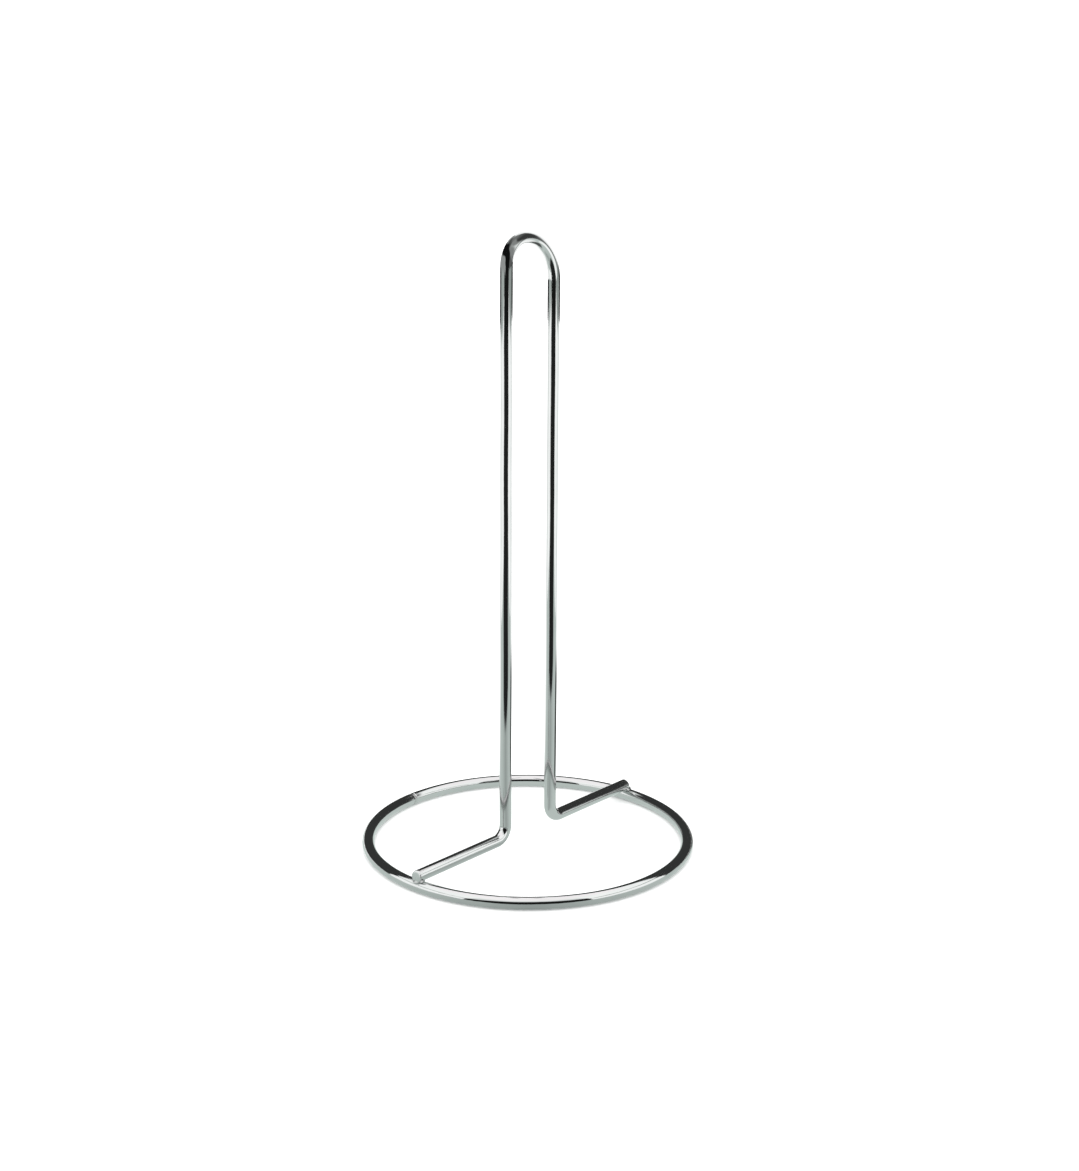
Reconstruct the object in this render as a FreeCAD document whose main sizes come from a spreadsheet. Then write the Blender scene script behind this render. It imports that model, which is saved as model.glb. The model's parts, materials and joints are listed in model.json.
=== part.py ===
import FreeCAD, Part
import math
import os

import Sketcher
from FreeCAD import Vector

# A free-standing paper towel holder made of two bright steel wires.
#
# The upright is one wire bent into a tall hairpin, whose two legs turn outwards
# at the bottom into a pair of feet. Its top is a lopsided arch: a tight quarter
# turn on the long foot's side of the apex and a wide one on the other side. The
# feet lie in one line across the base ring, on top of it, and are resistance
# welded to it where they cross.
#
# Frame: millimetres, +Z up. The origin is the centre of the base ring on the
# surface the holder stands on. The hairpin and its feet lie in the XZ plane,
# with the longer foot towards -X.

DIMENSIONS = [
    ("wire_diameter", 6.0),
    ("ring_outer_diameter", 165.0),
    ("overall_height", 305.5),
    ("leg_spacing", 34.2),
    ("apex_offset", 5.0),
    ("foot_bend_radius", 7.0),
    ("long_foot_reach", 82.0),
    ("short_foot_reach", 79.5),
    ("cut_end_chamfer", 0.5),
    ("weld_set_down", 0.6),
    ("weld_nugget_width", 5.8),
    ("weld_nugget_depth", 3.0),
    ("seam_weld_length", 1.4),
]

# Sizes that follow from the ones above, worked out by the sheet itself.
DERIVED = [
    ("wire_radius", "=wire_diameter / 2"),
    ("ring_centre_radius", "=ring_outer_diameter / 2 - wire_diameter / 2"),
    ("foot_level", "=1.5 * wire_diameter - weld_set_down"),
    ("weld_level", "=wire_diameter - weld_set_down / 2"),
    ("tight_arch_radius", "=leg_spacing / 2 - apex_offset"),
    ("wide_arch_radius", "=leg_spacing / 2 + apex_offset"),
    ("seam_angle", "=seam_weld_length / ring_centre_radius * 180 / pi"),
]

# How a sketch numbers its own origin, its vertical axis and the points of a curve.
ORIGIN = (-1, 1)
VERTICAL_AXIS = -2
START, END, CENTRE = 1, 2, 3

UP = Vector(0, 0, 1)
SAME_PLACE = 1e-6


def make_sheet(doc):
    """The sheet of driving dimensions, one alias a row."""
    sheet = doc.addObject("Spreadsheet::Sheet", "dims")
    rows = [(name, str(value)) for name, value in DIMENSIONS] + DERIVED
    for row, (name, content) in enumerate(rows, start=1):
        sheet.set(f"A{row}", name)
        sheet.set(f"B{row}", content)
        sheet.setAlias(f"B{row}", name)
    doc.recompute()
    return sheet


def new_body(doc, name):
    body = doc.addObject("PartDesign::Body", name)
    body.Label = name
    return body


def origin_feature(body, role):
    """The body's own origin plane or axis with this role, such as XZ_Plane or Z_Axis."""
    return next(item for item in body.Origin.OriginFeatures if item.Role == role)


def new_sketch(body, name, plane_role):
    sketch = body.newObject("Sketcher::SketchObject", name)
    sketch.AttachmentSupport = [(origin_feature(body, plane_role), "")]
    sketch.MapMode = "FlatFace"
    return sketch


def add_sizes(sketch, sizes):
    """Add each constraint under its name and tie it to the sheet by its expression."""
    for constraint, name, expression in sizes:
        index = sketch.addConstraint(constraint)
        sketch.renameConstraint(index, name)
        sketch.setExpression(f"Constraints.{name}", expression)


def wire_section(body, name, sheet, side):
    """A circle of wire on the ring's centre line, in the YZ plane, at +Y or -Y."""
    sketch = new_sketch(body, name, "YZ_Plane")
    radius = sheet.wire_radius
    centre = Vector(side * sheet.ring_centre_radius, radius, 0)
    circle = sketch.addGeometry(Part.Circle(centre, UP, radius))
    sizes = [
        (Sketcher.Constraint("DistanceX", *ORIGIN, circle, CENTRE, centre.x), "offset",
         "dims.ring_centre_radius" if side > 0 else "-dims.ring_centre_radius"),
        (Sketcher.Constraint("DistanceY", *ORIGIN, circle, CENTRE, radius), "level",
         "dims.wire_radius"),
        (Sketcher.Constraint("Diameter", circle, 2 * radius), "wire", "dims.wire_diameter"),
    ]
    add_sizes(sketch, sizes)
    return sketch


def revolve(body, name, sketch, angle_expression):
    """Turn a section about the ring's axis, equally both ways from its plane."""
    feature = body.newObject("PartDesign::Revolution", name)
    feature.Profile = sketch
    feature.ReferenceAxis = (origin_feature(body, "Z_Axis"), [""])
    feature.Midplane = True
    feature.setExpression("Angle", angle_expression)
    return feature


def make_ring_blank(doc, sheet):
    """The wire of the base ring, bent round and open where its two ends meet, at +Y."""
    body = new_body(doc, "ring_blank")
    section = wire_section(body, "ring_section", sheet, side=-1)
    revolve(body, "ring_bend", section, "360 - dims.seam_angle")
    return body


def make_seam_weld(doc, sheet):
    """The butt weld that closes the ring, dressed flush with the wire."""
    body = new_body(doc, "ring_seam_weld")
    section = wire_section(body, "seam_section", sheet, side=1)
    revolve(body, "seam_fill", section, "dims.seam_angle")
    return body


def hairpin_points(sheet):
    """The corners and tangent points of the upright's centre line, in the XZ plane."""
    half = sheet.leg_spacing / 2
    bend = sheet.foot_bend_radius
    foot = sheet.foot_level
    top = sheet.overall_height - sheet.wire_radius
    return {
        "long_end": Vector(-sheet.long_foot_reach, foot, 0),
        "long_bend_in": Vector(-half - bend, foot, 0),
        "long_bend_out": Vector(-half, foot + bend, 0),
        "long_leg_top": Vector(-half, top - sheet.tight_arch_radius, 0),
        "apex": Vector(-sheet.apex_offset, top, 0),
        "short_leg_top": Vector(half, top - sheet.wide_arch_radius, 0),
        "short_bend_in": Vector(half, foot + bend, 0),
        "short_bend_out": Vector(half + bend, foot, 0),
        "short_end": Vector(sheet.short_foot_reach, foot, 0),
    }


def hairpin_path(body, sheet):
    """The upright's centre line: foot, bend, leg, arch, leg, bend, foot, all tangent."""
    sketch = new_sketch(body, "hairpin_path", "XZ_Plane")
    at = hairpin_points(sheet)
    bend = sheet.foot_bend_radius
    tight = sheet.tight_arch_radius
    wide = sheet.wide_arch_radius
    long_centre = at["long_bend_in"] + Vector(0, bend, 0)
    short_centre = at["short_bend_out"] + Vector(0, bend, 0)
    tight_centre = at["apex"] - Vector(0, tight, 0)
    wide_centre = at["apex"] - Vector(0, wide, 0)
    quarter = math.pi / 2

    long_foot = sketch.addGeometry(Part.LineSegment(at["long_end"], at["long_bend_in"]))
    long_bend = sketch.addGeometry(
        Part.ArcOfCircle(Part.Circle(long_centre, UP, bend), -quarter, 0))
    long_leg = sketch.addGeometry(Part.LineSegment(at["long_bend_out"], at["long_leg_top"]))
    tight_arch = sketch.addGeometry(
        Part.ArcOfCircle(Part.Circle(tight_centre, UP, tight), quarter, math.pi))
    wide_arch = sketch.addGeometry(
        Part.ArcOfCircle(Part.Circle(wide_centre, UP, wide), 0, quarter))
    short_leg = sketch.addGeometry(Part.LineSegment(at["short_leg_top"], at["short_bend_in"]))
    short_bend = sketch.addGeometry(
        Part.ArcOfCircle(Part.Circle(short_centre, UP, bend), math.pi, 3 * quarter))
    short_foot = sketch.addGeometry(Part.LineSegment(at["short_bend_out"], at["short_end"]))

    joins = [
        (long_foot, END, long_bend, START),
        (long_bend, END, long_leg, START),
        (long_leg, END, tight_arch, END),
        (tight_arch, START, wide_arch, END),
        (wide_arch, START, short_leg, START),
        (short_leg, END, short_bend, START),
        (short_bend, END, short_foot, START),
    ]
    for first, first_point, second, second_point in joins:
        sketch.addConstraint(
            Sketcher.Constraint("Tangent", first, first_point, second, second_point))
    for line, kind in ((long_foot, "Horizontal"), (short_foot, "Horizontal"),
                       (long_leg, "Vertical"), (short_leg, "Vertical")):
        sketch.addConstraint(Sketcher.Constraint(kind, line))

    sizes = [
        (Sketcher.Constraint("Radius", long_bend, bend), "long_bend", "dims.foot_bend_radius"),
        (Sketcher.Constraint("Radius", short_bend, bend), "short_bend", "dims.foot_bend_radius"),
        (Sketcher.Constraint("Radius", tight_arch, tight), "tight_arch",
         "dims.tight_arch_radius"),
        (Sketcher.Constraint("Radius", wide_arch, wide), "wide_arch", "dims.wide_arch_radius"),
        (Sketcher.Constraint("DistanceX", tight_arch, START, *ORIGIN, -at["apex"].x),
         "apex_offset", "dims.apex_offset"),
        (Sketcher.Constraint("DistanceY", *ORIGIN, tight_arch, START, at["apex"].y),
         "apex_height", "dims.overall_height - dims.wire_radius"),
        (Sketcher.Constraint("DistanceX", long_foot, START, *ORIGIN, -at["long_end"].x),
         "long_reach", "dims.long_foot_reach"),
        (Sketcher.Constraint("DistanceX", *ORIGIN, short_foot, END, at["short_end"].x),
         "short_reach", "dims.short_foot_reach"),
        (Sketcher.Constraint("DistanceY", *ORIGIN, long_foot, START, at["long_end"].y),
         "long_level", "dims.foot_level"),
        (Sketcher.Constraint("DistanceY", *ORIGIN, short_foot, END, at["short_end"].y),
         "short_level", "dims.foot_level"),
    ]
    add_sizes(sketch, sizes)
    sketch.addConstraint(
        Sketcher.Constraint("Vertical", tight_arch, CENTRE, tight_arch, START))
    return sketch


def foot_end_section(body, sheet):
    """The round wire section at the end of the long foot, where the sweep starts."""
    sketch = new_sketch(body, "foot_end_section", "YZ_Plane")
    sketch.setExpression("AttachmentOffset.Base.z", "-dims.long_foot_reach")
    centre = Vector(0, sheet.foot_level, 0)
    circle = sketch.addGeometry(Part.Circle(centre, UP, sheet.wire_radius))
    sketch.addConstraint(Sketcher.Constraint("PointOnObject", circle, CENTRE, VERTICAL_AXIS))
    sizes = [
        (Sketcher.Constraint("DistanceY", *ORIGIN, circle, CENTRE, centre.y), "level",
         "dims.foot_level"),
        (Sketcher.Constraint("Diameter", circle, sheet.wire_diameter), "wire",
         "dims.wire_diameter"),
    ]
    add_sizes(sketch, sizes)
    return sketch


def cut_end_edges(shape, reaches):
    """Names of the round edges of the two cut ends of the wire."""
    names = []
    for number, edge in enumerate(shape.Edges, start=1):
        if not isinstance(edge.Curve, Part.Circle):
            continue
        on_end = any(abs(edge.Curve.Center.x - reach) < SAME_PLACE for reach in reaches)
        if on_end:
            names.append(f"Edge{number}")
    return names


def make_upright_blank(doc, sheet):
    """The upright wire as bent and deburred, before it is welded down."""
    body = new_body(doc, "upright_blank")
    path = hairpin_path(body, sheet)
    section = foot_end_section(body, sheet)
    doc.recompute()
    sweep = body.newObject("PartDesign::AdditivePipe", "bent_wire")
    sweep.Profile = section
    sweep.Spine = (path, [])
    doc.recompute()
    deburr = body.newObject("PartDesign::Chamfer", "deburred_ends")
    reaches = (-sheet.long_foot_reach, sheet.short_foot_reach)
    deburr.Base = (sweep, cut_end_edges(sweep.Shape, reaches))
    deburr.setExpression("Size", "dims.cut_end_chamfer")
    doc.recompute()
    return body


def make_cross_weld(doc, name, side):
    """A lens of weld metal between a foot and the ring, swelling into the crotches."""
    weld = doc.addObject("Part::Ellipsoid", name)
    weld.Label = name
    # Radius1 is the half depth, along Z; Radius2 and Radius3 are the half widths.
    weld.setExpression("Radius1", "dims.weld_nugget_depth / 2")
    weld.setExpression("Radius2", "dims.weld_nugget_width / 2")
    weld.setExpression("Radius3", "dims.weld_nugget_width / 2")
    weld.setExpression(
        "Placement.Base.x",
        "dims.ring_centre_radius" if side > 0 else "-dims.ring_centre_radius")
    weld.setExpression("Placement.Base.z", "dims.weld_level")
    return weld


def cut_away(doc, name, base, tools):
    """The base with the tools cut from it, so that the pieces meet face to face."""
    joined = doc.addObject("Part::MultiFuse", f"{name}_neighbours")
    joined.Shapes = tools
    piece = doc.addObject("Part::Cut", name)
    piece.Label = name
    piece.Base = base
    piece.Tool = joined
    return piece


def check_document(doc, pieces):
    """Stop if anything in the document failed or any piece isn't one sound solid."""
    for item in doc.Objects:
        if "Invalid" in item.State or "Error" in item.State:
            raise RuntimeError(f"{item.Name} failed: {item.State}")
    for piece in pieces:
        shape = piece.Shape
        if shape.isNull() or not shape.isValid() or len(shape.Solids) != 1:
            raise RuntimeError(f"{piece.Label} isn't one valid solid")


def wire_lengths(sheet):
    """Centre-line lengths of the upright and of the ring's wire, in millimetres."""
    at = hairpin_points(sheet)
    long_leg = at["long_leg_top"].y - at["long_bend_out"].y
    short_leg = at["short_leg_top"].y - at["short_bend_in"].y
    feet = (at["long_bend_in"].x - at["long_end"].x) + (at["short_end"].x - at["short_bend_out"].x)
    bends = math.pi * (sheet.foot_bend_radius + sheet.leg_spacing / 2)
    ring = 2 * math.pi * sheet.ring_centre_radius
    return long_leg + short_leg + feet + bends, ring


def main():
    doc = FreeCAD.newDocument("paper_towel_holder")
    sheet = make_sheet(doc)

    ring_blank = make_ring_blank(doc, sheet)
    seam_weld = make_seam_weld(doc, sheet)
    upright_blank = make_upright_blank(doc, sheet)
    long_foot_weld = make_cross_weld(doc, "long_foot_weld", side=-1)
    short_foot_weld = make_cross_weld(doc, "short_foot_weld", side=1)
    doc.recompute()

    base_ring = cut_away(doc, "base_ring", ring_blank, [long_foot_weld, short_foot_weld])
    doc.recompute()
    upright = cut_away(doc, "upright_wire", upright_blank, [ring_blank, long_foot_weld, short_foot_weld])
    doc.recompute()

    pieces = [base_ring, seam_weld, upright, long_foot_weld, short_foot_weld]
    check_document(doc, pieces)

    os.makedirs("parts", exist_ok=True)
    for piece in pieces:
        piece.Shape.exportStep(f"parts/{piece.Label}.step")
        print(f"{piece.Label}: {piece.Shape.Volume:.1f} mm3")
    upright_length, ring_length = wire_lengths(sheet)
    section_area = math.pi * sheet.wire_radius ** 2
    for name, length in (("upright wire", upright_length), ("ring wire", ring_length)):
        print(f"{name}: {length:.1f} mm long, {length * section_area:.1f} mm3 as drawn")


main()
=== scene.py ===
import json
import math

import bpy
import numpy as np
from mathutils import Matrix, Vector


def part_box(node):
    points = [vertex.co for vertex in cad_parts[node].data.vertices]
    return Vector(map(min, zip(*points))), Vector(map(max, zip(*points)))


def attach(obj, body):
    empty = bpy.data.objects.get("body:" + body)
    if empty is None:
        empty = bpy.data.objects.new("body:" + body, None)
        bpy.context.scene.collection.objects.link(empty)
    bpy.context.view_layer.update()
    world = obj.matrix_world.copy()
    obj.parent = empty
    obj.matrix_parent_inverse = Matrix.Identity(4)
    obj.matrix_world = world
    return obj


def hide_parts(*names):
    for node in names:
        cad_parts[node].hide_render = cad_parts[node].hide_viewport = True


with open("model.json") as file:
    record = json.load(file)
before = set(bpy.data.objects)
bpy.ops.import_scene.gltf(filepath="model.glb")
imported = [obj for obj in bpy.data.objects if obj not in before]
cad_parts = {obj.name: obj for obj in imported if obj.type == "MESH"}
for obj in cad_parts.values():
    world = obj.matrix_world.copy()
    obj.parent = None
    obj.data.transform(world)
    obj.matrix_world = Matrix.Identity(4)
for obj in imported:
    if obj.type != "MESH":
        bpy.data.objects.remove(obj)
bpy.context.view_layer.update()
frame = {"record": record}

# ---------------------------------------------------------------------------
# Sizes, in metres. The first group is read from the frame.
# ---------------------------------------------------------------------------
MM = 0.001

ring_low, ring_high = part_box("base_ring")
wire_low, wire_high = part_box("upright_wire")
seam_low, seam_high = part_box("ring_seam_weld")
mounts = {mount["name"]: mount for mount in frame["record"]["mounts"]}

WIRE_RADIUS = (ring_high.z - ring_low.z) / 2
RING_RADIUS = (ring_high.x - ring_low.x) / 2 - WIRE_RADIUS
RING_LEVEL = ring_low.z + WIRE_RADIUS
FOOT_LEVEL = wire_low.z + WIRE_RADIUS
LONG_FOOT_END = wire_low.x
SHORT_FOOT_END = wire_high.x
LEG_OFFSET = mounts["roll_spindle"]["dims"]["r_mm"] * MM - WIRE_RADIUS
APEX_LEVEL = wire_high.z - WIRE_RADIUS
SEAM_HALF_LENGTH = (seam_high.x - seam_low.x) / 2
SEAM_RADIUS = (seam_high.z - seam_low.z) / 2

# The arch's apex stands off the middle, on the long foot's side
APEX_OFFSET = 5.0 * MM
TIGHT_ARCH_RADIUS = LEG_OFFSET - APEX_OFFSET
WIDE_ARCH_RADIUS = LEG_OFFSET + APEX_OFFSET
FOOT_BEND_RADIUS = 7.0 * MM

# Angles about the ring's centre, from +X: the seam is at the back, the long foot's weld at half a
# turn, the short foot's at a whole turn, and then the seam comes round again
SEAM_TURN = math.pi / 2
SEAM_HALF_TURN = SEAM_HALF_LENGTH / RING_RADIUS
WELD_TURNS = np.pi * np.array((0.5, 1.0, 2.0, 2.5))

# A sheared and tumbled wire end: distance from the end against the radius left there. The end
# face slopes back towards its top, and the slope fades out over CUT_REACH. The even run of
# points begins at CUT_LENGTH from the end.
CUT_DISTANCE = np.array((0.0, 0.015, 0.04, 0.08, 0.16, 0.32, 0.60)) * MM
CUT_RADIUS = np.array((0.02, 0.40, 0.62, 0.78, 0.90, 0.975, 1.0)) * WIRE_RADIUS
CUT_SLOPE = math.tan(math.radians(10))
CUT_REACH = 3 * MM
CUT_LENGTH = 1.0 * MM

# Unevenness of the bent wire, which dies down towards the seam and the cut ends
RIPPLE_SINES = 5
RIPPLE_SPREAD = (0.6, 1.7)
RIPPLE_HEIGHT = 0.05 * MM
RING_WAVELENGTH = 70 * MM
RING_CALM_LENGTH = 20 * MM
UPRIGHT_WAVELENGTH = 80 * MM
UPRIGHT_CALM_START = 15 * MM
UPRIGHT_CALM_LENGTH = 40 * MM

# How far the haze reaches from a weld or a cut end
HEATED_LENGTH = 5 * MM

# A weld bead's body is smaller than its CAD nugget by a few percent, which its lumps make up
BEAD_BODY = 0.93
BEAD_LUMPS = 26
LUMP_HEIGHT = 0.07
LUMP_SHARPNESS = 14
LUMP_STRENGTH = (0.3, 1.0)
LUMP_LIMIT = 1.3

# The dressed seam dips most in its middle. The dip rises and falls in waves around the wire,
# whose phase shifts by SEAM_SKEW from the middle to each end.
SEAM_DIP = 0.04 * MM
SEAM_WAVES = 5
SEAM_SKEW = 4

# Fineness of the meshes
AROUND = 72
SIDE_ANGLES = np.arange(AROUND) * 2 * math.pi / AROUND
RING_STATIONS = 721
SEAM_STATIONS = 15
STRAIGHT_STEP = 1.0 * MM
FOOT_BEND_STEP = 0.25 * MM
TIGHT_ARCH_STEP = 0.3 * MM
WIDE_ARCH_STEP = 0.4 * MM
BEAD_ROWS = 40
BEAD_COLUMNS = 72


# ---------------------------------------------------------------------------
# Mesh helpers
# ---------------------------------------------------------------------------
def add_mesh(name, points, faces):
    mesh = bpy.data.meshes.new(name)
    mesh.from_pydata([tuple(map(float, p)) for p in points], [], faces)
    mesh.shade_smooth()
    mesh.validate()
    obj = bpy.data.objects.new(name, mesh)
    bpy.context.scene.collection.objects.link(obj)
    return obj


def set_attribute(obj, name, values):
    """Stores one number or one vector for each vertex."""
    values = np.asarray(values, np.float32)
    kind, key = ("FLOAT", "value") if values.ndim == 1 else ("FLOAT_VECTOR", "vector")
    attribute = obj.data.attributes.new(name, kind, "POINT")
    attribute.data.foreach_set(key, values.ravel())


def ripple(distance, seed, wavelength):
    """A smooth seeded wave along a wire: a few sines whose lengths spread about one wavelength."""
    draw = np.random.RandomState(seed)
    total = np.zeros_like(distance)
    for _ in range(RIPPLE_SINES):
        stretch = draw.uniform(*RIPPLE_SPREAD)
        phase = draw.uniform(0, 2 * math.pi)
        total += np.sin(2 * math.pi * distance / (wavelength * stretch) + phase)
    return RIPPLE_HEIGHT * total / math.sqrt(RIPPLE_SINES)


def wear(distance):
    """1 at a weld or a cut end, and almost nothing two heated lengths away."""
    return np.exp(-((distance / HEATED_LENGTH) ** 2))


def sweep(centres, side_a, side_b, radii):
    """Circles of the given radii about each centre, in the plane of its two side directions."""
    turn_a = np.cos(SIDE_ANGLES)[None, :, None]
    turn_b = np.sin(SIDE_ANGLES)[None, :, None]
    spread = radii[:, :, None] * (turn_a * side_a[:, None, :] + turn_b * side_b[:, None, :])
    return (centres[:, None, :] + spread).reshape(-1, 3)


def tube_faces(stations):
    """Quads along a swept tube and a cap at each end, all facing outwards."""
    faces = []
    for i in range(stations - 1):
        here, ahead = i * AROUND, (i + 1) * AROUND
        for k in range(AROUND):
            m = (k + 1) % AROUND
            faces.append((here + k, ahead + k, ahead + m, here + m))
    last = (stations - 1) * AROUND
    faces.append(tuple(range(AROUND)))
    faces.append(tuple(range(last, last + AROUND))[::-1])
    return faces


def set_wire_attributes(obj, distance, worn):
    """The length along the wire, a unit circle around it, and its wear, for a swept tube."""
    along = np.repeat(distance, AROUND)
    around = np.tile(SIDE_ANGLES, len(distance))
    set_attribute(obj, "along", along)
    set_attribute(obj, "around", np.stack([np.cos(around), np.sin(around), along * 0], 1))
    set_attribute(obj, "worn", np.repeat(worn, AROUND))


# ---------------------------------------------------------------------------
# Base ring
# ---------------------------------------------------------------------------
def ring_directions(turn):
    """Unit vectors outwards from the ring's centre and upwards, at each turn about it."""
    outward = np.stack([np.cos(turn), np.sin(turn), np.zeros_like(turn)], 1)
    upward = np.tile([0.0, 0.0, 1.0], (len(turn), 1))
    return outward, upward


def build_ring():
    """The ring is open at the seam, where its two ends butt."""
    start = SEAM_TURN + SEAM_HALF_TURN
    end = SEAM_TURN + 2 * math.pi - SEAM_HALF_TURN
    turn = np.linspace(start, end, RING_STATIONS)
    outward, upward = ring_directions(turn)
    distance = turn * RING_RADIUS
    to_end = np.minimum(distance - distance[0], distance[-1] - distance)
    calm = np.clip(to_end / RING_CALM_LENGTH, 0, 1)
    bend = RING_RADIUS + ripple(distance, 11, RING_WAVELENGTH) * calm
    centres = outward * bend[:, None] + upward * RING_LEVEL
    radii = np.full((len(turn), AROUND), WIRE_RADIUS)
    points = sweep(centres, outward, upward, radii)
    obj = add_mesh("ring_wire", points, tube_faces(len(turn)))
    to_weld = np.abs(turn[:, None] - WELD_TURNS).min(1) * RING_RADIUS
    set_wire_attributes(obj, distance, wear(to_weld))
    return obj


# ---------------------------------------------------------------------------
# Upright wire
# ---------------------------------------------------------------------------
def straight(start, end):
    """Points from the start up to, but without, the end."""
    count = max(2, int(math.ceil(math.dist(start, end) / STRAIGHT_STEP)))
    return [
        (start[0] + (end[0] - start[0]) * i / count, start[1] + (end[1] - start[1]) * i / count)
        for i in range(count)
    ]


def arc(centre, radius, start, end, step):
    """Points on an arc from the start angle up to, but without, the end angle."""
    count = max(8, int(math.ceil(abs(end - start) * radius / step)))
    return [
        (
            centre[0] + radius * math.cos(start + (end - start) * i / count),
            centre[1] + radius * math.sin(start + (end - start) * i / count),
        )
        for i in range(count)
    ]


def upright_path():
    """Centre line in the XZ plane: long foot, bend, leg, lopsided arch, leg, bend, short foot."""
    bend = FOOT_BEND_RADIUS
    left = -LEG_OFFSET
    right = LEG_OFFSET
    bend_level = FOOT_LEVEL + bend
    tight_level = APEX_LEVEL - TIGHT_ARCH_RADIUS
    wide_level = APEX_LEVEL - WIDE_ARCH_RADIUS
    quarter = math.pi / 2
    path = [(LONG_FOOT_END + float(cut), FOOT_LEVEL) for cut in CUT_DISTANCE]
    path += straight((LONG_FOOT_END + CUT_LENGTH, FOOT_LEVEL), (left - bend, FOOT_LEVEL))
    path += arc((left - bend, bend_level), bend, -quarter, 0, FOOT_BEND_STEP)
    path += straight((left, bend_level), (left, tight_level))
    path += arc((-APEX_OFFSET, tight_level), TIGHT_ARCH_RADIUS, math.pi, quarter, TIGHT_ARCH_STEP)
    path += arc((-APEX_OFFSET, wide_level), WIDE_ARCH_RADIUS, quarter, 0, WIDE_ARCH_STEP)
    path += straight((right, wide_level), (right, bend_level))
    path += arc((right + bend, bend_level), bend, math.pi, 3 * quarter, FOOT_BEND_STEP)
    path += straight((right + bend, FOOT_LEVEL), (SHORT_FOOT_END - CUT_LENGTH, FOOT_LEVEL))
    path += [(SHORT_FOOT_END - float(cut), FOOT_LEVEL) for cut in CUT_DISTANCE[::-1]]
    return np.array(path)


def build_upright():
    path = upright_path()
    step = np.gradient(path, axis=0)
    length = np.linalg.norm(np.diff(path, axis=0), axis=1)
    distance = np.concatenate([[0], np.cumsum(length)])
    tangent = step / np.linalg.norm(step, axis=1)[:, None]
    side = np.stack([-tangent[:, 1], np.zeros(len(path)), tangent[:, 0]], 1)
    cross = np.tile([0.0, 1.0, 0.0], (len(path), 1))
    centres = np.stack([path[:, 0], np.zeros(len(path)), path[:, 1]], 1)
    to_end = np.minimum(distance, distance[-1] - distance)
    calm = np.clip((to_end - UPRIGHT_CALM_START) / UPRIGHT_CALM_LENGTH, 0, 1)
    centres += (ripple(distance, 23, UPRIGHT_WAVELENGTH) * calm)[:, None] * side
    centres += (ripple(distance, 37, UPRIGHT_WAVELENGTH) * calm)[:, None] * cross
    radii = np.repeat(np.interp(to_end, CUT_DISTANCE, CUT_RADIUS)[:, None], AROUND, 1)
    points = sweep(centres, side, cross, radii)
    height = WIRE_RADIUS + radii * np.cos(SIDE_ANGLES)
    set_back = CUT_SLOPE * height * np.clip(1 - to_end / CUT_REACH, 0, 1)[:, None]
    points[:, 0] -= (set_back * np.sign(path[:, :1])).ravel()
    obj = add_mesh("upright_hairpin", points, tube_faces(len(path)))
    set_wire_attributes(obj, distance, wear(to_end))
    return obj


# ---------------------------------------------------------------------------
# Welds
# ---------------------------------------------------------------------------
def lumps(directions, seed):
    """Soft seeded lumps spread over a sphere, between 0 and about 1."""
    draw = np.random.RandomState(seed)
    spots = draw.normal(size=(BEAD_LUMPS, 3))
    spots /= np.linalg.norm(spots, axis=1)[:, None]
    strength = draw.uniform(*LUMP_STRENGTH, BEAD_LUMPS)
    total = (np.exp(LUMP_SHARPNESS * (directions @ spots.T - 1)) * strength).sum(1)
    return total.clip(0, LUMP_LIMIT)


def globe_directions():
    """Unit vectors in bands from the top of a globe to its bottom, then its two poles."""
    level = np.linspace(math.pi / 2, -math.pi / 2, BEAD_ROWS)[1:-1]
    turn = np.arange(BEAD_COLUMNS) * 2 * math.pi / BEAD_COLUMNS
    up, around = np.meshgrid(level, turn, indexing="ij")
    bands = np.stack([np.cos(up) * np.cos(around), np.cos(up) * np.sin(around), np.sin(up)], -1)
    return np.concatenate([bands.reshape(-1, 3), [(0, 0, 1), (0, 0, -1)]])


def globe_faces():
    """Quads between the bands of a globe and a fan about each pole, all facing outwards."""
    bands = BEAD_ROWS - 2
    faces = []
    for i in range(bands - 1):
        upper, lower = i * BEAD_COLUMNS, (i + 1) * BEAD_COLUMNS
        for k in range(BEAD_COLUMNS):
            m = (k + 1) % BEAD_COLUMNS
            faces.append((upper + k, lower + k, lower + m, upper + m))
    pole = bands * BEAD_COLUMNS
    last = (bands - 1) * BEAD_COLUMNS
    faces += [(pole, k, (k + 1) % BEAD_COLUMNS) for k in range(BEAD_COLUMNS)]
    faces += [(pole + 1, last + (k + 1) % BEAD_COLUMNS, last + k) for k in range(BEAD_COLUMNS)]
    return faces


def build_bead(name, node, seed):
    """A lumpy bead of resistance weld, squeezed out where a foot crosses the ring."""
    low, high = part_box(node)
    centre = (low + high) / 2
    half = (high - low) / 2
    directions = globe_directions()
    swell = BEAD_BODY + LUMP_HEIGHT * lumps(directions, seed)
    points = np.array(centre) + directions * swell[:, None] * np.array(half)
    obj = add_mesh(name, points, globe_faces())
    set_attribute(obj, "along", (directions[:, 2] + 1) * half.z)
    set_attribute(obj, "around", directions)
    set_attribute(obj, "worn", np.ones(len(points)))
    return obj


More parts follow.
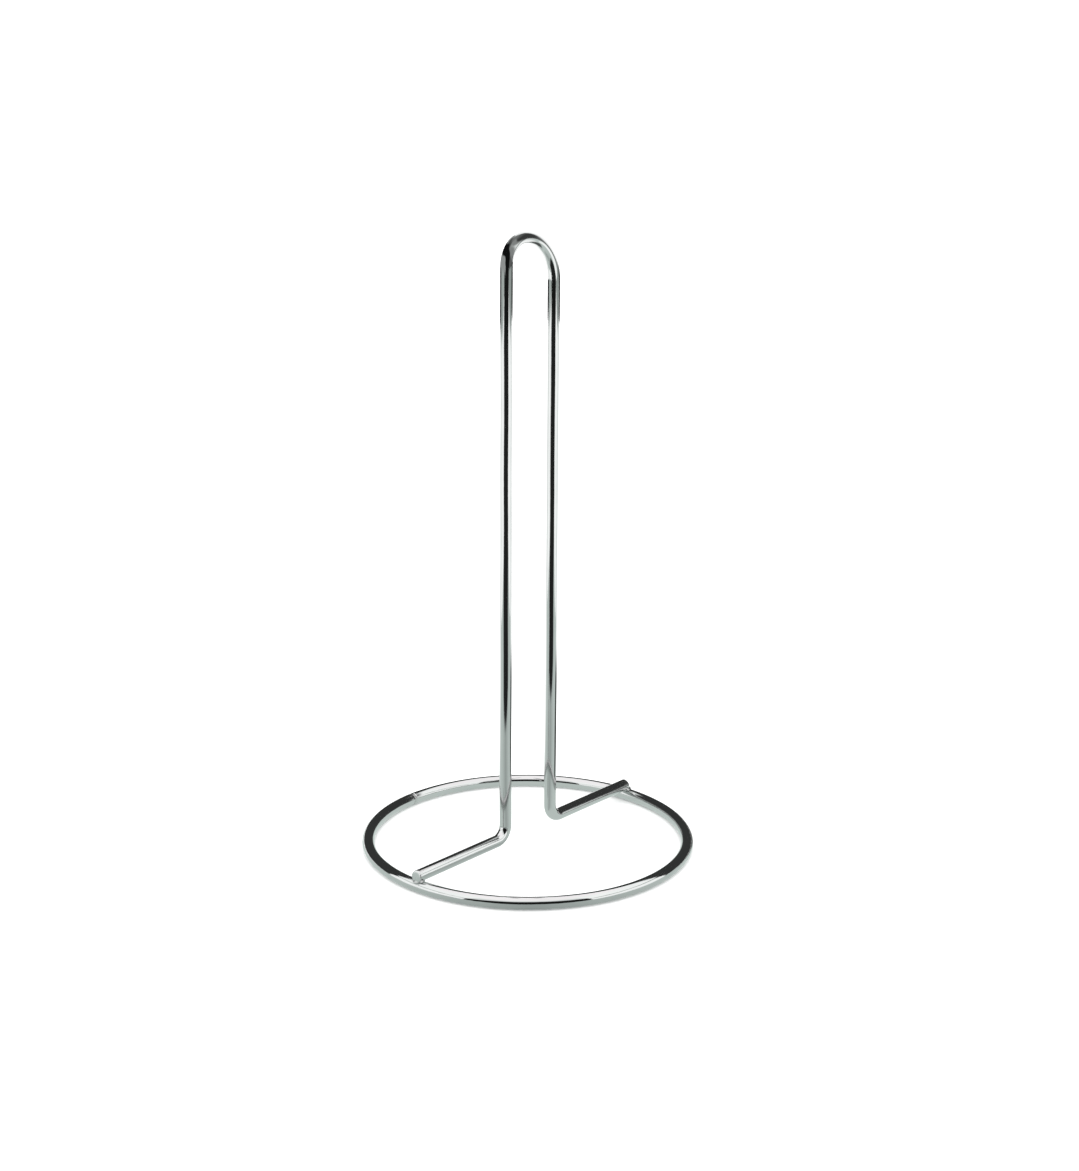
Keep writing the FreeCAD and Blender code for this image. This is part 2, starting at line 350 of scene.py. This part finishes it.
def build_seam():
    """The butt weld of the ring, dressed flush: a short slice a hair below the wire surface."""
    share = np.linspace(-1, 1, SEAM_STATIONS)
    turn = SEAM_TURN + SEAM_HALF_TURN * share
    outward, upward = ring_directions(turn)
    waves = 0.6 + 0.4 * np.sin(SEAM_WAVES * SIDE_ANGLES + SEAM_SKEW * share[:, None])
    radii = SEAM_RADIUS - SEAM_DIP * (1 - share**2)[:, None] * waves
    centres = outward * RING_RADIUS + upward * RING_LEVEL
    points = sweep(centres, outward, upward, radii)
    obj = add_mesh("seam_bead", points, tube_faces(len(turn)))
    set_wire_attributes(obj, turn * RING_RADIUS, np.ones(len(turn)))
    return obj


# ---------------------------------------------------------------------------
# Materials
# ---------------------------------------------------------------------------
# Noise scales: clouds and dimples in cycles per metre, lines in cycles per unit around the wire.
# LINE_PRESS turns metres along the wire into those units, so the lines run long.
CLOUD_SCALE = 45.0
CLOUD_DETAIL = 4.0
LINE_SCALE = 9.0
LINE_DETAIL = 5.0
LINE_PRESS = 14.0
DIMPLE_SCALE = 900.0
DIMPLE_DETAIL = 2.0

# The stretch of each noise over which the finish changes
CLOUD_COLOUR = (0.4, 0.7)
CLOUD_POLISH = (0.3, 0.7)
LINE_BRUSH = (0.45, 0.75)

# Roughness added where the metal is fully worn, and the lines' share of a finish's own range
WORN_HAZE = 0.10
LINE_HAZE = 0.8


def add_attribute(tree, name):
    node = tree.nodes.new("ShaderNodeAttribute")
    node.attribute_name = name
    return node


def add_noise(tree, place, scale, detail):
    noise = tree.nodes.new("ShaderNodeTexNoise")
    noise.inputs["Scale"].default_value = scale
    noise.inputs["Detail"].default_value = detail
    tree.links.new(place, noise.inputs["Vector"])
    return noise.outputs["Fac"]


def add_range(tree, source, before, after):
    """Maps the range 'before' to the range 'after', and stays inside it."""
    stretch = tree.nodes.new("ShaderNodeMapRange")
    for key, value in zip(("From Min", "From Max", "To Min", "To Max"), (*before, *after)):
        stretch.inputs[key].default_value = value
    tree.links.new(source, stretch.inputs["Value"])
    return stretch.outputs["Result"]


def add_math(tree, operation, *values):
    """A math node, each of whose inputs is a number or another node's output."""
    node = tree.nodes.new("ShaderNodeMath")
    node.operation = operation
    for socket, value in zip(node.inputs, values):
        if isinstance(value, float):
            socket.default_value = value
        else:
            tree.links.new(value, socket)
    return node.outputs["Value"]


def add_bump(tree, height, depth):
    bump = tree.nodes.new("ShaderNodeBump")
    bump.inputs["Distance"].default_value = depth
    tree.links.new(height, bump.inputs["Height"])
    return bump


def wire_coordinates(tree):
    """A unit circle around the wire, moved along its axis by the length along the wire."""
    length = add_math(tree, "MULTIPLY", add_attribute(tree, "along").outputs["Fac"], LINE_PRESS)
    place = tree.nodes.new("ShaderNodeCombineXYZ")
    tree.links.new(length, place.inputs["Z"])
    total = tree.nodes.new("ShaderNodeVectorMath")
    total.operation = "ADD"
    tree.links.new(add_attribute(tree, "around").outputs["Vector"], total.inputs[0])
    tree.links.new(place.outputs["Vector"], total.inputs[1])
    return total.outputs["Vector"]


def plate_colour(tree, clouds, bright, dull):
    """Bright metal, turning dull in the thick of the clouds."""
    colour = tree.nodes.new("ShaderNodeMix")
    colour.data_type = "RGBA"
    colour.inputs["A"].default_value = (*bright, 1.0)
    colour.inputs["B"].default_value = (*dull, 1.0)
    tree.links.new(add_range(tree, clouds, CLOUD_COLOUR, (0.0, 1.0)), colour.inputs["Factor"])
    return colour.outputs["Result"]


def plate_roughness(tree, clouds, lines, low, high):
    """Clouds of polish, brushed by the lines, with more haze where the metal is worn."""
    polish = add_range(tree, clouds, CLOUD_POLISH, (low, high))
    brushed = add_range(tree, lines, LINE_BRUSH, (0.0, (high - low) * LINE_HAZE))
    total = add_math(tree, "ADD", polish, brushed)
    worn = add_attribute(tree, "worn").outputs["Fac"]
    return add_math(tree, "MULTIPLY_ADD", worn, WORN_HAZE, total)


def plating(name, bright, dull, roughness, line_depth, dimple_depth):
    """Bright nickel-chrome plate: clouds of polish, drawing lines along the wire and fine dimples."""
    material = bpy.data.materials.new(name)
    material.use_nodes = True
    tree = material.node_tree
    shader = tree.nodes["Principled BSDF"]
    shader.inputs["Metallic"].default_value = 1.0
    place = tree.nodes.new("ShaderNodeTexCoord").outputs["Object"]
    clouds = add_noise(tree, place, CLOUD_SCALE, CLOUD_DETAIL)
    lines = add_noise(tree, wire_coordinates(tree), LINE_SCALE, LINE_DETAIL)
    dimples = add_noise(tree, place, DIMPLE_SCALE, DIMPLE_DETAIL)
    tree.links.new(plate_colour(tree, clouds, bright, dull), shader.inputs["Base Color"])
    tree.links.new(plate_roughness(tree, clouds, lines, *roughness), shader.inputs["Roughness"])
    lined = add_bump(tree, lines, line_depth)
    dimpled = add_bump(tree, dimples, dimple_depth)
    tree.links.new(lined.outputs["Normal"], dimpled.inputs["Normal"])
    tree.links.new(dimpled.outputs["Normal"], shader.inputs["Normal"])
    return material


# ---------------------------------------------------------------------------
# Camera: its frame has X to the right, Y away from the camera and Z up
# ---------------------------------------------------------------------------
VIEW_TURN = math.radians(49.923)
CAMERA_RIGHT = 5.09 * MM
CAMERA_BACK = 1039.49 * MM
CAMERA_HEIGHT = 433.88 * MM
CAMERA_PITCH = math.radians(16.078)
CAMERA_ROLL = math.radians(0.351)
FOCAL_LENGTH = 68.676
SENSOR_WIDTH = 36.0
NEAREST_SEEN = 0.01
FURTHEST_SEEN = 100.0
VIEW_TO_OBJECT = Matrix.Rotation(-VIEW_TURN, 4, "Z")


def add_camera():
    data = bpy.data.cameras.new("camera")
    data.sensor_width = SENSOR_WIDTH
    data.lens = FOCAL_LENGTH
    data.clip_start = NEAREST_SEEN
    data.clip_end = FURTHEST_SEEN
    camera = bpy.data.objects.new("camera", data)
    bpy.context.scene.collection.objects.link(camera)
    place = Matrix.Translation((CAMERA_RIGHT, -CAMERA_BACK, CAMERA_HEIGHT))
    tilt = Matrix.Rotation(math.pi / 2 - CAMERA_PITCH, 4, "X")
    roll = Matrix.Rotation(CAMERA_ROLL, 4, "Z")
    camera.matrix_world = VIEW_TO_OBJECT @ place @ tilt @ roll
    bpy.context.scene.camera = camera


# ---------------------------------------------------------------------------
# Radiance of the surroundings. Each mask below is a product of soft edges, and each edge gives
# its place and its width: degrees for azimuths and elevations, metres for lengths.
# ---------------------------------------------------------------------------
TABLE_TINT = np.array((0.90, 1.0, 0.96))
ROOM_TINT = np.array((0.97, 1.0, 0.99))
OVERHEAD = np.array((1.56, 1.51, 1.53))
CARD = np.array((1.55, 1.57, 1.56))
BEHIND_WHITE = np.array((1.6, 1.6, 1.6))

# The table's grey towards the camera, and what it gains towards the sides
TABLE_GREY = 0.56
TABLE_SIDE_GAIN = 0.34
TABLE_FRONT = 0.025 * ROOM_TINT
TABLE_SHADE = 0.12 * ROOM_TINT

# The room, whose dark patch in front is an ellipse about PATCH_AZIMUTH on the horizon
PATCH_AZIMUTH = 7
PATCH_HALF_WIDTH = 58
PATCH_HALF_HEIGHT = 40
ROOM_SIDES = 1.2 * ROOM_TINT
ROOM_FRONT = 0.014 * ROOM_TINT
ROOM_BEHIND = 0.055 * ROOM_TINT

# The hood's grey on the left, and what it loses on the right
HOOD_GREY = 0.5
HOOD_RIGHT_LOSS = 0.12
HOOD_GLOOM = 0.13 * ROOM_TINT
HOOD_TOP = 0.27 * ROOM_TINT
HOOD_DIM = 0.15 * ROOM_TINT
HOOD_DARK = 0.01 * ROOM_TINT
STREAK_HALF_WIDTH = 4
STREAK_GREY = 0.55
STREAK_GAIN = 0.8
BAND_GREY = 0.07
BAND_GAIN = 0.09

# The faint shade on the table along the ring
CONTACT_REACH = 1.2 * WIRE_RADIUS
CONTACT_SHADE = 0.1

# Outlines on the hood: azimuths, and the elevation that the outline has at each
STREAK_LEVEL = ((15, 30, 45, 60, 75, 90, 97), (52, 45, 35, 25, 12, 1, -6))
DIM_TOP = ((0, 30, 45, 60, 75), (39, 19, 11, 4, -4))
DARK_BOTTOM = (
    (-170, -150, -135, -120, -105, -90, -75, -60, -45, -30, -12),
    (-6, 4, 10, 14, 17, 20, 23, 25, 24, 18, -20),
)
DARK_TOP = (
    (-170, -150, -135, -120, -105, -90, -75, -60, -45, -30, -15, 0, 15, 30, 40, 46),
    (5, 16, 29, 41, 51, 58, 62, 64, 62, 56, 50, 43, 34, 23, 8, -14),
)

# The same the other way about: elevations, and the azimuth that the outline has at each
BAND_LEFT = ((-5, 10, 25, 38, 50, 70), (97, 88, 75, 65, 60, 58))
BAND_RIGHT = ((-5, 10, 20, 35, 50, 70), (100, 108, 115, 125, 135, 140))


def step_up(value, edge, width):
    """0 well below the edge, 1 well above it, smooth over the width."""
    t = np.clip((value - edge) / width + 0.5, 0, 1)
    return t * t * (3 - 2 * t)


def step_down(value, edge, width):
    return 1 - step_up(value, edge, width)


def tint(value, colour):
    return np.asarray(value)[..., None] * np.array(colour)


def mix(a, b, share):
    return a + (b - a) * np.asarray(share)[..., None]


def table_radiance(x, y):
    """The table top: grey, dark in front, white behind, and shaded behind on the right."""
    azimuth = np.degrees(np.arctan2(np.abs(x), -y))
    reach = np.hypot(x, y)
    sideways = np.sin(np.radians(np.clip(azimuth, 0, 90)))
    value = tint(TABLE_GREY + TABLE_SIDE_GAIN * sideways, TABLE_TINT)
    behind = step_up(azimuth, 105, 20) * step_up(reach, 0.13, 0.12)
    value = mix(value, BEHIND_WHITE, behind)
    front = step_down(azimuth, 41, 14) * step_down(y, -0.205, 0.03)
    value = mix(value, TABLE_FRONT, front)
    right = step_up(x, 0.084, 0.006)
    shade = right * step_up(azimuth, 92, 12) * step_down(azimuth, 150, 20) * step_down(reach, 0.3, 0.1)
    value = mix(value, TABLE_SHADE, shade)
    contact = np.exp(-(((reach - RING_RADIUS) / CONTACT_REACH) ** 2))
    return value * (1 - CONTACT_SHADE * contact)[..., None]


def dome_radiance(azimuth, elevation):
    """The room: a dark patch in front, dark low down behind, bright sides and a white ceiling."""
    across = (azimuth - PATCH_AZIMUTH) / PATCH_HALF_WIDTH
    front = step_down(np.hypot(across, elevation / PATCH_HALF_HEIGHT), 1, 0.24)
    value = mix(ROOM_SIDES, ROOM_FRONT, front)
    behind = step_up(np.abs(azimuth), 98, 3) * step_down(elevation, 48, 3)
    value = mix(value, ROOM_BEHIND, behind)
    ceiling = step_up(elevation, 53, 6)
    return mix(value, OVERHEAD, ceiling)


def hood_base(azimuth, elevation):
    """Mid grey, a little darker on the right, with a gloom high on the left and a dim crown."""
    right = step_up(azimuth, 0, 40)
    value = tint(HOOD_GREY - HOOD_RIGHT_LOSS * right, ROOM_TINT)
    gloom = step_up(azimuth, -137, 26) * step_down(azimuth, -8, 30) * step_up(elevation, 45, 12)
    value = mix(value, HOOD_GLOOM, gloom)
    crown = step_up(elevation, 74, 12)
    return mix(value, HOOD_TOP, crown)


def add_streak(value, azimuth, elevation):
    """A thin pale streak that falls from the front to the right, and brightens on the way."""
    level = np.interp(azimuth, *STREAK_LEVEL)
    line = np.exp(-(((elevation - level) / STREAK_HALF_WIDTH) ** 2))
    streak = line * step_up(azimuth, 12, 24) * step_down(azimuth, 98, 4)
    strength = STREAK_GREY + STREAK_GAIN * step_up(azimuth, 62, 50)
    return mix(value, tint(strength, ROOM_TINT), streak)


def add_band(value, azimuth, elevation):
    """A dark upright band on the right, greyer higher up, and the white that begins behind it."""
    left = np.interp(elevation, *BAND_LEFT)
    right = np.interp(elevation, *BAND_RIGHT)
    band = step_up(azimuth, left, 8) * step_down(azimuth, right, 10) * step_down(elevation, 72, 16)
    grey = BAND_GREY + BAND_GAIN * step_up(elevation, 50, 20)
    value = mix(value, tint(grey, ROOM_TINT), band)
    behind = np.clip(step_up(azimuth, right + 6, 12) + step_down(azimuth, -157, 9), 0, 1)
    white = behind * step_down(elevation, 68, 20)
    return mix(value, BEHIND_WHITE, white)


def add_darks(value, azimuth, elevation):
    """A dim patch low at the front right, and a near black bow from the back over the left to it."""
    dim = step_up(azimuth, 0, 20) * step_down(elevation, np.interp(azimuth, *DIM_TOP), 8)
    value = mix(value, HOOD_DIM, dim)
    bottom = np.interp(azimuth, *DARK_BOTTOM)
    top = np.interp(azimuth, *DARK_TOP)
    dark = step_up(elevation, bottom, 5) * step_down(elevation, top, 8)
    return mix(value, HOOD_DARK, dark)


def hood_radiance(azimuth, elevation):
    """What hangs above the arch."""
    value = hood_base(azimuth, elevation)
    value = add_streak(value, azimuth, elevation)
    value = add_band(value, azimuth, elevation)
    return add_darks(value, azimuth, elevation)


# ---------------------------------------------------------------------------
# Surroundings that only reflections see, in the camera's frame
# ---------------------------------------------------------------------------
TABLE_SINK = 0.2 * MM
DOME_RADIUS = 1.6
DOME_LOWEST = -6.0
HOOD_LEVEL = APEX_LEVEL - 12 * MM
HOOD_RADIUS = 185 * MM
HOOD_LOWEST = -8.0

# Two cards stand upright beside the object. Each runs back to an edge that depends on the level,
# and has a greyer stripe across it.
CARD_OFFSET = 0.40
CARD_FRONT = -0.48
CARD_BACK = ((0.2, 0.275, 0.39, 0.53, 0.71, 1.0), (0.035, 0.095, 0.157, 0.26, 0.437, 0.7))
STRIPE_BOTTOM = 0.19
STRIPE_TOP = 0.24
STRIPE_BLUR = 0.012
LEFT_STRIPE = 0.66 * TABLE_TINT
RIGHT_STRIPE = 0.52 * TABLE_TINT


def side_shader(tree, kind):
    """'stored' glows with the mesh's own radiance, 'white' with OVERHEAD, and 'clear' not at all."""
    if kind == "clear":
        return tree.nodes.new("ShaderNodeBsdfTransparent").outputs["BSDF"]
    light = tree.nodes.new("ShaderNodeEmission")
    if kind == "white":
        light.inputs["Color"].default_value = (*OVERHEAD, 1.0)
    else:
        tree.links.new(add_attribute(tree, "radiance").outputs["Color"], light.inputs["Color"])
    return light.outputs["Emission"]


def glow(name, front, back):
    """A material that takes each side of its faces from side_shader."""
    material = bpy.data.materials.new(name)
    material.use_nodes = True
    material.cycles.emission_sampling = "NONE"
    tree = material.node_tree
    tree.nodes.remove(tree.nodes["Principled BSDF"])
    surface = side_shader(tree, front)
    if back != front:
        choose = tree.nodes.new("ShaderNodeMixShader")
        side = tree.nodes.new("ShaderNodeNewGeometry")
        tree.links.new(side.outputs["Backfacing"], choose.inputs[0])
        tree.links.new(surface, choose.inputs[1])
        tree.links.new(side_shader(tree, back), choose.inputs[2])
        surface = choose.outputs["Shader"]
    tree.links.new(surface, tree.nodes["Material Output"].inputs["Surface"])
    return material


def add_reflected(name, points, radiance, front="stored", back="stored"):
    """A grid of points, given as rows, that only reflections see."""
    rows, columns = points.shape[:2]
    faces = [
        (i * columns + k, i * columns + k + 1, (i + 1) * columns + k + 1, (i + 1) * columns + k)
        for i in range(rows - 1)
        for k in range(columns - 1)
    ]
    obj = add_mesh(name, points.reshape(-1, 3), faces)
    set_attribute(obj, "radiance", radiance.reshape(-1, 3))
    obj.data.materials.append(glow(name, front, back))
    obj.matrix_world = VIEW_TO_OBJECT
    obj.visible_camera = False
    obj.visible_diffuse = False
    obj.visible_shadow = False
    obj.visible_transmission = False


def sphere_points(radius, azimuth, elevation, level=0.0):
    """The azimuth is 0 towards the camera, 90 to the right and -90 to the left."""
    a, e = np.radians(azimuth), np.radians(elevation)
    flat = radius * np.cos(e)
    return np.stack([flat * np.sin(a), -flat * np.cos(a), level + radius * np.sin(e)], -1)


def add_table():
    """A disc a hair below the floor, finer near the object."""
    reach = np.concatenate([np.linspace(0, 0.45, 181), np.linspace(0.46, 1.7, 100)])
    r, a = np.meshgrid(reach, np.radians(np.linspace(0, 360, 361)), indexing="ij")
    x, y = r * np.cos(a), r * np.sin(a)
    points = np.stack([x, y, np.full_like(x, -TABLE_SINK)], -1)
    add_reflected("table_reflected", points, table_radiance(x, y))


def add_dome():
    rise = np.linspace(DOME_LOWEST, 90, 193)
    e, a = np.meshgrid(rise, np.linspace(-180, 180, 721), indexing="ij")
    add_reflected("dome_reflected", sphere_points(DOME_RADIUS, a, e), dome_radiance(a, e))


def add_cards():
    levels = np.concatenate([np.linspace(0, 0.3, 61), np.linspace(0.32, 1.0, 35)])
    depth = np.interp(levels, *CARD_BACK) - CARD_FRONT
    y = CARD_FRONT + np.linspace(0, 1, 12) * depth[:, None]
    z = np.broadcast_to(levels[:, None], y.shape)
    stripe = step_up(z, STRIPE_BOTTOM, STRIPE_BLUR) * step_down(z, STRIPE_TOP, STRIPE_BLUR)
    for name, x, grey in (
        ("left_card", -CARD_OFFSET, LEFT_STRIPE),
        ("right_card", CARD_OFFSET, RIGHT_STRIPE),
    ):
        points = np.stack([np.full_like(y, x), y, z], -1)
        add_reflected(name, points, mix(CARD, grey, stripe))


def add_hood():
    """A dome about the arch: its own shapes from inside, and overhead white from outside."""
    rise = np.linspace(HOOD_LOWEST, 90, 99)
    e, a = np.meshgrid(rise, np.linspace(-180, 180, 361), indexing="ij")
    points = sphere_points(HOOD_RADIUS, a, e, HOOD_LEVEL)
    add_reflected("hood", points, hood_radiance(a, e), front="white")


def add_hood_bottom():
    """A disc that closes the hood: overhead white from below, and clear from above."""
    lowest = math.radians(HOOD_LOWEST)
    reach = np.linspace(0, HOOD_RADIUS * math.cos(lowest), 3)
    r, a = np.meshgrid(reach, np.linspace(-180, 180, 361), indexing="ij")
    points = sphere_points(r, a, 0.0, HOOD_LEVEL + HOOD_RADIUS * math.sin(lowest))
    add_reflected("hood_bottom", points, np.broadcast_to(OVERHEAD, points.shape), back="clear")


# ---------------------------------------------------------------------------
# Floor and light
# ---------------------------------------------------------------------------
FLOOR_REACH = 8.0
FLOOR_GREY = 0.86
FLOOR_ROUGHNESS = 0.9
SKY_STRENGTH = 1.9


def add_floor():
    """A pale matt floor that reflections don't see."""
    corners = ((-1, -1), (1, -1), (1, 1), (-1, 1))
    points = [(x * FLOOR_REACH, y * FLOOR_REACH, 0) for x, y in corners]
    floor = add_mesh("floor", points, [(0, 1, 2, 3)])
    material = bpy.data.materials.new("floor")
    material.use_nodes = True
    shader = material.node_tree.nodes["Principled BSDF"]
    shader.inputs["Base Color"].default_value = (FLOOR_GREY, FLOOR_GREY, FLOOR_GREY, 1.0)
    shader.inputs["Roughness"].default_value = FLOOR_ROUGHNESS
    shader.inputs["Specular IOR Level"].default_value = 0.0
    floor.data.materials.append(material)
    floor.visible_glossy = False


def add_sky():
    """Even white light from all sides."""
    world = bpy.data.worlds.new("studio")
    bpy.context.scene.world = world
    world.use_nodes = True
    background = world.node_tree.nodes["Background"]
    background.inputs["Color"].default_value = (1.0, 1.0, 1.0, 1.0)
    background.inputs["Strength"].default_value = SKY_STRENGTH


# ---------------------------------------------------------------------------
# Assembly
# ---------------------------------------------------------------------------
plated_wire = plating(
    "plated_wire",
    bright=(0.56, 0.568, 0.565),
    dull=(0.53, 0.54, 0.537),
    roughness=(0.03, 0.075),
    line_depth=0.008 * MM,
    dimple_depth=0.0002 * MM,
)
plated_weld = plating(
    "plated_weld",
    bright=(0.54, 0.545, 0.54),
    dull=(0.40, 0.41, 0.41),
    roughness=(0.10, 0.26),
    line_depth=0.02 * MM,
    dimple_depth=0.02 * MM,
)


def add_piece(piece, material, node):
    piece.data.materials.append(material)
    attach(piece, "root")
    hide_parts(node)


add_piece(build_ring(), plated_wire, "base_ring")
add_piece(build_upright(), plated_wire, "upright_wire")
add_piece(
    build_bead("long_foot_bead", "long_foot_weld", 5),
    plated_weld,
    "long_foot_weld",
)
add_piece(
    build_bead("short_foot_bead", "short_foot_weld", 8),
    plated_weld,
    "short_foot_weld",
)
add_piece(build_seam(), plated_weld, "ring_seam_weld")

add_table()
add_dome()
add_cards()
add_hood()
add_hood_bottom()
add_floor()
add_sky()
add_camera()
bpy.context.scene.view_settings.view_transform = "Standard"
